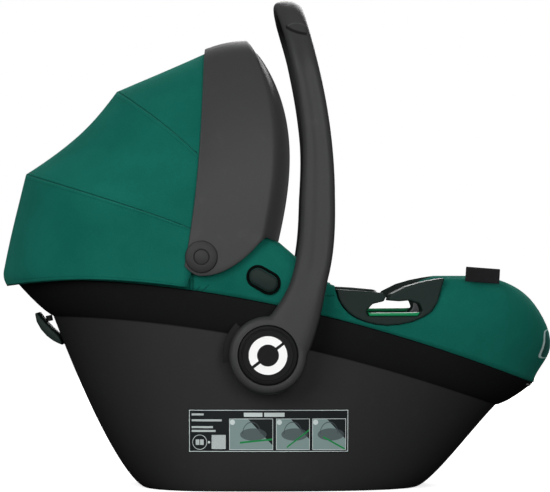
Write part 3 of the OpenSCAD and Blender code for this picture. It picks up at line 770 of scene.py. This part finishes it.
def visor_hem(around):
    """The canopy's front edge is clipped just inside the visor's rear edge."""
    up, side = over_arch(around)
    free = smooth(up / 0.3)
    z = mix(PIVOT[1] + 240 * up, VISOR_FOOT + 266 * up, free)
    return Vector((mix(PIVOT[0], visor_rear_x((z - VISOR_FOOT) / 270) + 4, free),
                   HEM_HALF_WIDTH * side, z))


def skirt(around):
    """The back gore's lower edge, round the outside of the rim."""
    c = max(0, math.sin(math.radians(around))) ** 0.8
    x = mix(-98, -328, c)
    return Vector((x, 188.2 * power_cos(around, 0.8), hem_z(x) + 2 - 11 * c ** 3))


def gore_seams(length):
    """A felled seam at both edges of a gore: a pressed line and a row of stitches beside it."""
    def marks(finish):
        across, along, _ = finish.parts(finish.cloth())
        from_edge = finish.sum("MINIMUM", along, length - along)
        pressed = 1 - finish.step(from_edge, 0.0004, 0.0016)
        row = 1 - finish.step(abs(from_edge - 0.0055), 0.0002, 0.0007)
        stitch = row * finish.step(finish.sine(across * (2 * math.pi / 0.0034)), -0.2, 0.4)
        return pressed + row * 0.45, stitch * 0.4
    return marks


GORE_ROWS = 36
GORE_WIDTH = 0.60


def gore(name, node, one, two, length, sag, tuck=0):
    """One gore between two edges. It keeps how far each point is from the first edge."""
    def place(u, row):
        k, around = row / GORE_ROWS, mix(0.4, 179.6, u)
        start, end = one(around), two(around)
        point = start.lerp(end, k)
        inward = (PIVOT_POINT - point).normalized()
        over = math.sin(math.radians(around))
        tension = 4 * k * (1 - k) * over ** 0.6
        ripple = noise.noise(point * 0.012) * 0.8 * min(1, 6 * k * (1 - k))
        tucked = tuck * clamp(1 - k / 0.14) ** 2 * over ** 2
        return point + inward * (sag * tension + ripple) + Vector((tucked, 0, 0))

    mesh = grid(150, GORE_ROWS, place, cloth=(GORE_WIDTH, length))
    fold = mesh.verts.layers.float.new("Fold")
    for face in mesh.faces:
        for loop in face.loops:
            loop.vert[fold] = loop[mesh.loops.layers.uv["Cloth"]].uv.y / length
    piece = as_piece(name, mesh, 0)
    finished(piece, thickened(0.0009))
    piece.data.materials.clear()
    piece.data.materials.append(woven(f"{name}_weave", GREEN, PALE_GREEN, seams=gore_seams(length)))
    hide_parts(node)
    tuple(Vector(one(90)) * MM)
    tuple(Vector(two(90)) * MM)
    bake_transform(piece)


gore("canopy_gore_rear", "canopy_panel_rear", skirt, rear_hoop,
     0.135, -0.8, tuck=8)
gore("canopy_gore_middle", "canopy_panel_middle", rear_hoop, front_hoop,
     0.145, 8)
gore("canopy_gore_front", "canopy_panel_front", front_hoop, visor_hem,
     0.104, 0.8)


# ---------- Canopy bows ----------
# Flat sprung hoops of black nylon, slid into a sleeve of the felled seams and pinned at the pivots.
HOOP_ROWS = 110
for name, hoop in (("rear", rear_hoop), ("front", front_hoop)):
    def hoop_point(u, row, hoop=hoop):
        inside, across = 3.2 + 1.1 * power_sin(360 * u, 0.6), 4.5 * power_cos(360 * u, 0.6)
        around = mix(1.2, 178.8, row / HOOP_ROWS)
        ahead = (hoop(around + 0.4, inside) - hoop(around - 0.4, inside)).normalized()
        outward = (hoop(around, inside) - PIVOT_POINT).normalized()
        return hoop(around, inside) + ahead.cross(outward).normalized() * across

    bow = as_piece(f"canopy_hoop_{name}", sealed(grid(20, HOOP_ROWS, hoop_point)), 30)
    own(bow, f"canopy_{name}_bow", f"bow_{name}", material=shell_plastic, slot="shell_black")


# ---------- Visor ----------
# A thin moulded shell in satin grey that stiffens the canopy's front.
# Its lower edge sweeps up from the pivots, and its front edge is rolled inwards.
def visor_edge(x):
    d = x - PIVOT[0]
    return VISOR_FOOT + (0.0085 if d > 0 else 0.03) * d * d


VISOR_ROWS, LIP = 44, 32


def visor_point(u, row):
    """The face runs forward from the canopy; past the lip row it turns in towards the head."""
    up, side = over_arch(180 * mix(u, smooth(u), 0.6))
    face, turn = min(1, row / LIP), clamp((row - LIP) / (VISOR_ROWS - LIP))
    share = 0.8 * face + 0.2 * turn
    foot_x = mix(-104, 4, share)
    foot_z = visor_edge(min(foot_x, -10)) - 8 * turn
    crown_z = 521 + 10 * (1 - (1 - face) ** 2) - 14 * smooth(turn)
    front_x = mix(4, -23, up * up) + 52 * up * (1 - up * up)
    return (mix(visor_rear_x(up), front_x, share), (193 - 13 * smooth(turn)) * side,
            mix(foot_z, crown_z, up))


visor_plastic = moulded("visor_grey_plastic", (0.037, 0.0372, 0.0374), 0.5,
                        grain=0.00003, specular=0.16)
visor = as_piece("visor_shell", grid(180, VISOR_ROWS, visor_point), 0)
finished(visor, thickened(0.0024), chamfered(0.0007))
own(visor, "visor", "visor", material=visor_plastic, slot="visor_grey")


# ---------- Seat padding ----------
# A knitted insert over wadding, quilted in channels across the back and seat, with a head support.
# Each pad is blown up a little as a sewn cover fills with its wadding, then its channels are drawn in.
def back_x(v):
    """How far back the dish reaches at a share of the way down it."""
    return mix(-283, 30, v)


def back_z(v):
    return 262 - 184 * (1 - (1 - v) ** 1.5)


def front_x(v):
    return mix(268, 120, v ** 1.2)


def seat_half(v):
    return mix(150, 60, v ** 1.3)


def dish_z(x, v):
    """The height of the dish, which leaves the rim in its first third."""
    front_z = 236 - 158 * (1 - (1 - v) ** 2)
    ahead = clamp((x - back_x(v)) / (front_x(v) - back_x(v)))
    return mix(top_z(x) - 13, mix(back_z(v), front_z, ahead), smooth(v / 0.3))


def seat(around, v, grow):
    x, y = plan(around, back_x(v) - grow, front_x(v) + grow, seat_half(v) + grow,
                mix(PLAN_POWER, 0.84, v), mix(WIDEST_X, 75, v))
    return x, y, dish_z(x, v) - grow


PLUMPING_FRAMES = 20


def plumped(piece, voxel, cap):
    """Fills a closed cover with air, and keeps each point within the cap of where it was cut."""
    finished(piece, voxels(voxel))
    start = [vert.co.copy() for vert in piece.data.vertices]
    cloth = piece.modifiers.new("Cloth", "CLOTH")
    cloth.settings.use_pressure = True
    cloth.settings.uniform_pressure_force = 4.0
    cloth.settings.effector_weights.gravity = 0
    cloth.settings.quality = 4
    for number in range(1, PLUMPING_FRAMES + 1):
        bpy.context.scene.frame_set(number)
    blown = piece.evaluated_get(bpy.context.evaluated_depsgraph_get()).to_mesh()
    ends = [vert.co.copy() for vert in blown.vertices]
    piece.modifiers.remove(cloth)
    bpy.context.scene.frame_set(1)
    for vert, before, after in zip(piece.data.vertices, start, ends):
        move = after - before
        vert.co = before + move * min(1, cap / max(move.length, 1e-9))
    return piece


def knitted(name, colour, pale):
    """Fine knit over wadding: columns of small loops, a soft bloom and slow changes of shade."""
    finish = Finish(name, Roughness=0.9, Sheen_Weight=0.35, Sheen_Roughness=0.6,
                    Specular_IOR_Level=0.2)
    x, y, z = finish.parts(finish.point())
    turn = 2 * math.pi / 0.0016
    loops = finish.sine(x * turn + finish.sine(z * turn) * 0.9) * finish.sine((y + z * 0.5) * turn)
    bloom, shade = finish.blotches(800, 3), finish.blotches(12, 3)
    cloth = finish.colours(shade * 0.5 + bloom * 0.5, (*colour, 1), (*pale, 1))
    cloth = finish.colours(finish.step(loops, 0.1, 1) * 0.35, cloth, shaded(pale, 1.6))
    return finish.paint(Base_Color=cloth, Normal=finish.bump(loops * 0.5 + bloom * 0.6, 0.0003))


charcoal_knit = knitted("insert_charcoal_knit", (0.052, 0.055, 0.060), (0.090, 0.095, 0.102))
pale_knit = knitted("head_support_knit", (0.105, 0.110, 0.118), (0.165, 0.172, 0.182))
cushion_levels = ([(v, 10) for v in (1, 0.85, 0.7, 0.55, 0.4, 0.3, 0.2, 0.12, 0.05)]
                  + [(v, 0.5) for v in (0.04, 0.07, 0.12, 0.2, 0.3, 0.4, 0.5, 0.6, 0.7, 0.8, 0.9, 1)])


def cushion_point(u, row):
    """Up the outside and down the inside, between a point under the seat and one on it."""
    if row in (0, len(cushion_levels) + 1):
        return 75, 0, 68 if row == 0 else 78
    return seat(360 * u, *cushion_levels[row - 1])


cushion = as_piece("seat_insert", grid(96, len(cushion_levels) + 1, cushion_point), 0)
# The belt's way over the padding beside each guide.
belt_ways = [slab((0.10655, y - 0.03, 0.2046), (0.17105, y + 0.03, 0.3446)) for y in (0.128, -0.128)]
carved(cushion, *belt_ways, guide_pocket("left"), guide_pocket("right"))
plumped(cushion, 0.0055, 0.0035)


def quilted(piece, depth, channels):
    """Draws the sewn channels in: each is a distance to a seam, and the pad sinks beside it."""
    for vert, normal in [(v, v.normal.copy()) for v in piece.data.vertices]:
        x, y, z = vert.co / MM
        sink = max(math.exp(-(d / 4.5) ** 2) for d in channels(x, y, z))
        vert.co -= normal * depth * MM * sink


finished(cushion, eased(3), SUBDIVIDED)
quilted(cushion, 2.6, lambda x, y, z: [abs((x - z * 0.5) % 46 - 23) if abs(y) < 78 else 20,
                                       abs(abs(y) - 80)])
own(cushion, "carrier", "seat_cushion", material=charcoal_knit, slot="cushion_fabric")


HEAD_ROWS = 24


def head_point(u, row):
    """A horseshoe round the head: out over its face, and back behind it."""
    k = row / HEAD_ROWS
    face = k <= 0.5
    v = mix(0.20, 0.44, k * 2 if face else 2 - k * 2)
    grow = -14.5 if face else -1.5
    a = mix(107, 253, u)
    x = WIDEST_X + power_cos(a, 0.82) * (WIDEST_X - back_x(v) + grow - 14)
    return (x, (seat_half(v) - 14 + grow) * power_sin(a, 0.82),
            dish_z(min(x, WIDEST_X), v) - grow + 22)


head = as_piece("head_support", sealed(grid(60, HEAD_ROWS, head_point)), 0)
plumped(head, 0.0045, 0.004)
finished(head, eased(9), SUBDIVIDED)
quilted(head, 2.2, lambda x, y, z: [abs(abs(y) - 34), abs(abs(y) - 88)])
own(head, "headrest", "headrest", material=pale_knit, slot="cushion_fabric")


# ---------- Harness ----------
# Flat webbing with padded sleeves at the shoulders, steel tongues, and a buckle with a red button.
# The chest clip holds the shoulder straps together, and the adjuster pulls them tight.
BACK_SLOPE, STRAP_LIFT = math.radians(36), 26
STRAP_Y, STRAP_WIDTH, STRAP_THICKNESS = 42, 38, 0.0019
SLEEVE_ROWS, LAP_ROWS, POUCH_ROWS = 30, 24, 20


def over_seat(v):
    """A point on the backrest, lifted to where the straps lie."""
    return (back_x(v) + STRAP_LIFT * math.sin(BACK_SLOPE),
            back_z(v) + STRAP_LIFT * math.cos(BACK_SLOPE))


def webbing(name, colour, pale):
    """Narrow-woven webbing: ribs along its length, a herringbone across, and firm edges."""
    finish = Finish(name, Roughness=0.6, Sheen_Weight=0.15, Specular_IOR_Level=0.35)
    across, along, _ = finish.parts(finish.cloth())
    rib = finish.sine(across * (2 * math.pi / 0.0021))
    bone = finish.sine(along * (2 * math.pi / 0.0016) + rib * 1.4)
    rub = finish.blotches(120, 4)
    cloth = finish.colours(rub * 0.6 + finish.step(bone, -0.5, 1) * 0.4, (*colour, 1), (*pale, 1))
    return finish.paint(Base_Color=cloth, Normal=finish.bump(rib * 0.4 + bone * 0.5, 0.00025))


strap_webbing = webbing("harness_webbing", (0.022, 0.0235, 0.026), (0.042, 0.045, 0.050))


def ribbon(name, spine, y, rows):
    """A flat strap along a spine of points in X and Z."""
    def place(u, row):
        x, z = spine(row / rows)
        return x, y + (u - 0.5) * STRAP_WIDTH, z

    piece = as_piece(name, grid(10, rows, place, cloth=(STRAP_WIDTH * MM, 0.2)), 0)
    return finished(piece, thickened(STRAP_THICKNESS, 0), chamfered(0.0005))


for side, sign in SIDES:
    strap = ribbon(f"shoulder_webbing_{side}", lambda k: over_seat(mix(0.5, 0.95, k)),
                   sign * STRAP_Y, 40)
    own(strap, "carrier", f"shoulder_strap_{side}", material=strap_webbing, slot="webbing")

    def sleeve_point(u, row, sign=sign):
        around, k = 360 * u, row / SLEEVE_ROWS
        x, z = over_seat(mix(0.525, 0.695, k))
        ends = 0.35 + 0.65 * smooth(min(k, 1 - k) / 0.08)
        flat = power_sin(around, 0.55) * 4.6 * ends
        return (x + flat * math.sin(BACK_SLOPE), sign * STRAP_Y + 24.5 * power_cos(around, 0.45),
                z + flat * math.cos(BACK_SLOPE))

    sleeve = as_piece(f"shoulder_sleeve_{side}", sealed(grid(48, SLEEVE_ROWS, sleeve_point)), 0)
    plumped(sleeve, 0.0026, 0.0018)
    finished(sleeve, eased(4), SUBDIVIDED)
    own(sleeve, "carrier", f"shoulder_pad_{side}", material=pale_knit, slot="cushion_fabric")

    def lap_point(u, row, sign=sign):
        k = row / LAP_ROWS
        x, y, z = mix(62, 90, k), mix(117, 34, k), mix(151, 120, k)
        drop = 5 * math.sin(math.pi * k)
        return x + 30 * (u - 0.5), sign * y, z + mix(10, -2, u) - drop

    lap = as_piece(f"lap_webbing_{side}", grid(10, LAP_ROWS, lap_point, cloth=(0.032, 0.1)), 0)
    finished(lap, thickened(STRAP_THICKNESS, 0))
    own(lap, "carrier", f"lap_strap_{side}", material=strap_webbing, slot="webbing")
    softened(f"chest_clip_half_{side}", f"chest_clip_{side}", 1.6, shell_plastic,
             "chest_clip", "shell_black")
    coat(f"buckle_tongue_{side}", steel.material)

crotch = ribbon("crotch_webbing", lambda k: (118 - k * k, mix(62, 90, k)), 0, 10)
own(crotch, "carrier", "crotch_strap", material=strap_webbing, slot="webbing")


def pouch_point(u, row):
    """A flat pouch under the buckle, tilted as the buckle is."""
    around, k = 360 * u, row / POUCH_ROWS
    a = math.radians(40)
    flat = 2.1 * power_sin(around, 0.6) * (0.4 + 0.6 * smooth(min(k, 1 - k) / 0.1))
    wide, long, deep = 28.5 * power_cos(around, 0.5), mix(-21, 21, k) + 6, flat - 11
    return (96 + long * math.cos(a) + deep * math.sin(a), wide,
            112 - long * math.sin(a) + deep * math.cos(a))


pouch = as_piece("crotch_pouch", sealed(grid(48, POUCH_ROWS, pouch_point)), 0)
plumped(pouch, 0.0022, 0.001)
finished(pouch, SUBDIVIDED)
own(pouch, "carrier", "crotch_pad", material=pale_knit, slot="cushion_fabric")

red_plastic = moulded("buckle_red_plastic", (0.42, 0.012, 0.010), 0.3,
                      grain=0.00001, scuffs=0.15)
softened("buckle_case", "buckle_body", 2.2, shell_plastic, "carrier", "shell_black")
softened("buckle_release", "buckle_button", 1.4, red_plastic, "buckle_button", "red_plastic")
softened("adjuster_case", "adjuster_housing", 2.0, shell_plastic, "carrier", "shell_black")
softened("adjuster_release", "adjuster_button", 1.6, dark_plastic, "adjuster_button", "button_dark")


# ---------- Labels ----------
# A printed film on each wall shows the belt's path in three plain panels, with no wording.
# A folded woven tag is sewn into the rim seam beside the right leg.
LABEL_ROWS = 12


def label_point(sign):
    """A film that lies on the shell's wall."""
    def place(u, row):
        x, z = mix(-101, 86, u), mix(46, 97, row / LABEL_ROWS)
        grow = (z / crease_z(x)) ** WALL_POWER
        end = (mix(FOOT_FRONT, CREASE_FRONT, grow) if x > WIDEST_X
               else mix(FOOT_REAR, CREASE_REAR, grow))
        along = (x - WIDEST_X) / (end - WIDEST_X)
        wall = mix(FOOT_HALF, CREASE_HALF, grow) * (1 - along ** (2 / PLAN_POWER)) ** (PLAN_POWER / 2)
        return x, sign * (wall + 0.35), z
    return place


film = Finish("belt_path_film", Roughness=0.4, Specular_IOR_Level=0.15)
x, _, z = film.parts(film.point())
LABEL_X, LABEL_Z = -0.0998, 0.0470
x, z = (x - LABEL_X) * 0.974, (z - LABEL_Z) * 0.943


def box_of(x0, x1, z0, z1):
    return (x > x0) * (x < x1) * (z > z0) * (z < z1)


def outline_of(x0, x1, z0, z1, width):
    return box_of(x0, x1, z0, z1) - box_of(x0 + width, x1 - width, z0 + width, z1 - width)


def disc_of(centre_x, centre_z, radius):
    return (((x - centre_x) ** 2 + (z - centre_z) ** 2) ** 0.5) < radius


printed = outline_of(0, 0.1800, 0, 0.0460, 0.0007)
panels, shade, seats, belts = 0, 0, 0, 0
for x0, x1, lean in ((0.0455, 0.0950, 0.10), (0.0985, 0.1365, 0.75), (0.1395, 0.1775, -0.55)):
    middle = mix(x0, x1, 0.55)
    panel = box_of(x0, x1, 0.0020, 0.0365)
    panels = panels + panel
    shade = shade + panel * (z > 0.0365 - (x - mix(x0, x1, 0.42)) * 1.05)
    bowl = (((x - middle) / 0.0150) ** 2 + ((z - 0.0190) / 0.0068) ** 2) < 1
    arc = abs((((x - middle + 0.002) / 0.8) ** 2 + (z - 0.0200) ** 2) ** 0.5 - 0.0125) < 0.0006
    seats = seats + panel * (bowl + arc * (z > 0.0200))
    belts = belts + panel * (abs((z - 0.0115) - (x - middle) * lean) < 0.0010) * (x > x0 + 0.012)
    printed = printed + outline_of(x0, x1, 0.0020, 0.0365, 0.0006) + disc_of(x0 + 0.0036, 0.0325, 0.0029)
for z0, x1 in ((0.0400, 0.0165), (0.0335, 0.0370), (0.0260, 0.0270), (0.0218, 0.0300)):
    printed = printed + box_of(0.0030, x1, z0, z0 + 0.0022) * 0.8
for x0, x1 in ((0.0620, 0.0830), (0.0850, 0.1080)):
    printed = printed + box_of(x0, x1, 0.0385, 0.0430)
check = film.sine(x * 3900) * film.sine(z * 3900) > 0
printed = printed + disc_of(0.0120, 0.0105, 0.0083) - disc_of(0.0120, 0.0105, 0.0077)
printed = printed + disc_of(0.0225, 0.0105, 0.0014)
printed = printed + box_of(0.0075, 0.0165, 0.0075, 0.0135) * (abs(x - 0.0120) > 0.0004) * 0.8
printed = printed + box_of(0.0255, 0.0415, 0.0030, 0.0185) * (0.55 + check * 0.45)
base = film.colours(film.blotches(30, 2), (0.006, 0.008, 0.009, 1), (0.010, 0.013, 0.014, 1))
for mask, colour in ((panels * 0.9, (0.215, 0.30, 0.29, 1)), (shade, (0.009, 0.012, 0.013, 1)),
                     (seats * 0.8, (0.055, 0.070, 0.075, 1)), (belts, (0.008, 0.21, 0.055, 1)),
                     (printed * 0.9, (0.60, 0.67, 0.66, 1))):
    base = film.colours(film.sum("MINIMUM", mask, 1), base, colour)
film.paint(Base_Color=base, Roughness=0.38 + film.blotches(90, 3) * 0.12,
           Normal=film.bump(film.blotches(400, 2), 0.00001))
labels = joined(*[as_piece("belt_path_labels" if sign > 0 else "label",
                           grid(60, LABEL_ROWS, label_point(sign)), 0) for _, sign in SIDES])
for polygon in labels.data.polygons:
    if polygon.normal.y * polygon.center.y < 0:
        polygon.flip()
own(labels, "carrier", "side_labels", material=film.material, slot="label")


TAG_WIDTH, TAG_LENGTH, TAG_ROWS = 0.044, 0.034, 24


def tag_point(u, row):
    """The ribbon goes up, over a soft fold and down again."""
    k = row / TAG_ROWS
    long = mix(-22, 22, u)
    lean = 0.6 * math.sin(math.pi * u)
    off = abs(k - 0.5)
    rise = 8.5 - off * 34 if off > 0.04 else 8.5 - 1.36 * (off / 0.04) ** 2
    thick = 0.45 * (1 if k > 0.5 else -1) * smooth(off / 0.05)
    turn = Matrix.Rotation(math.radians(24), 3, "Z") @ Matrix.Rotation(math.radians(4), 3, "Y")
    return Vector((241, -148.2, 252)) + turn @ Vector((long, thick + lean, rise))


def tag_marks(finish):
    across, along, _ = finish.parts(finish.cloth())
    edge = finish.sum("MINIMUM", across, TAG_WIDTH - across)
    row = 1 - finish.step(abs(edge - 0.0022), 0.0002, 0.0006)
    return row * 0.4, row * finish.step(finish.sine(along * (2 * math.pi / 0.0022)), -0.2, 0.4)


tag = as_piece("folded_tag", grid(24, TAG_ROWS, tag_point, cloth=(TAG_WIDTH, TAG_LENGTH)), 0)
finished(tag, thickened(0.0003, 0))
tag_weave = woven("tag_black_weave", (0.010, 0.010, 0.011), (0.020, 0.020, 0.021),
                  pitch=0.0006, seams=tag_marks, sheen=0.1)
own(tag, "carrier", "size_tag", slot="tag_fabric", material=tag_weave)


# ---------- Studio ----------
# A plain white floor under a white sky, and soft lamps in front, above and at both sides.
floor_mesh = bmesh.new()
bmesh.ops.create_circle(floor_mesh, cap_ends=True, radius=60, segments=64)
floor = as_piece("studio_floor", floor_mesh, 0)
paper = Finish("studio_paper", Roughness=0.9, Specular_IOR_Level=0.1,
               Emission_Color=(1, 1, 1, 1), Emission_Strength=0.72)
floor.data.materials.append(paper.paint(Base_Color=paper.colours(
    paper.blotches(0.8, 1), (0.90, 0.90, 0.90, 1), (0.93, 0.93, 0.93, 1))))
floor.visible_diffuse = floor.visible_glossy = False

scene = bpy.context.scene
scene.view_settings.view_transform = "Standard"
world = bpy.data.worlds.new("studio_air")
scene.world = world
world.use_nodes = True
air = world.node_tree
height = air.nodes.new("ShaderNodeSeparateXYZ")
dusk = air.nodes.new("ShaderNodeMapRange")
dusk.inputs["From Min"].default_value, dusk.inputs["From Max"].default_value = -0.1, 0.45
dusk.inputs["To Min"].default_value, dusk.inputs["To Max"].default_value = 0.03, 1
soft, plain = air.nodes["Background"], air.nodes.new("ShaderNodeBackground")
soft.inputs["Strength"].default_value = 0.35
plain.inputs["Color"].default_value = (1, 1, 1, 1)
choice = air.nodes.new("ShaderNodeMixShader")
for start, end in ((air.nodes.new("ShaderNodeTexCoord").outputs["Generated"], height.inputs[0]),
                   (height.outputs["Z"], dusk.inputs["Value"]), (dusk.outputs[0], soft.inputs["Color"]),
                   (air.nodes.new("ShaderNodeLightPath").outputs["Is Camera Ray"], choice.inputs[0]),
                   (soft.outputs[0], choice.inputs[1]), (plain.outputs[0], choice.inputs[2]),
                   (choice.outputs[0], air.nodes["World Output"].inputs["Surface"])):
    air.links.new(start, end)

for name, place, aim, size, power in (
        ("front_lamp", (-1.4, -3.7, 1.3), (0, 0, 0.22), 2.0, 82),
        ("low_lamp", (0.4, -3.2, 0.55), (0, 0, 0.15), 1.0, 38),
        ("key_lamp", (-1.5, -2.2, 2.6), (0, 0, 0.25), 1.6, 10),
        ("side_lamp", (2.6, -1.8, 0.6), (0, 0, 0.25), 1.2, 5),
        ("top_lamp", (0.5, -0.2, 2.8), (0, 0, 0.3), 1.6, 5),
        ("back_lamp", (0.6, 3.2, 1.6), (0, 0.0, 0.3), 2.0, 60)):
    lamp = bpy.data.lights.new(name, "AREA")
    lamp.energy, lamp.shape, lamp.size = power, "DISK", size
    lamp_object = bpy.data.objects.new(name, lamp)
    lamp_object.location = place
    lamp_object.rotation_euler = (Vector(aim) - Vector(place)).to_track_quat("-Z", "Y").to_euler()
    scene.collection.objects.link(lamp_object)

camera = bpy.data.objects.new("camera", bpy.data.cameras.new("camera"))
camera.data.lens, camera.data.sensor_width = 245.45, 36
camera.location, camera.rotation_euler = (0, -4.5, 0.286), (math.pi / 2, 0, 0)
scene.collection.objects.link(camera)
scene.camera = camera
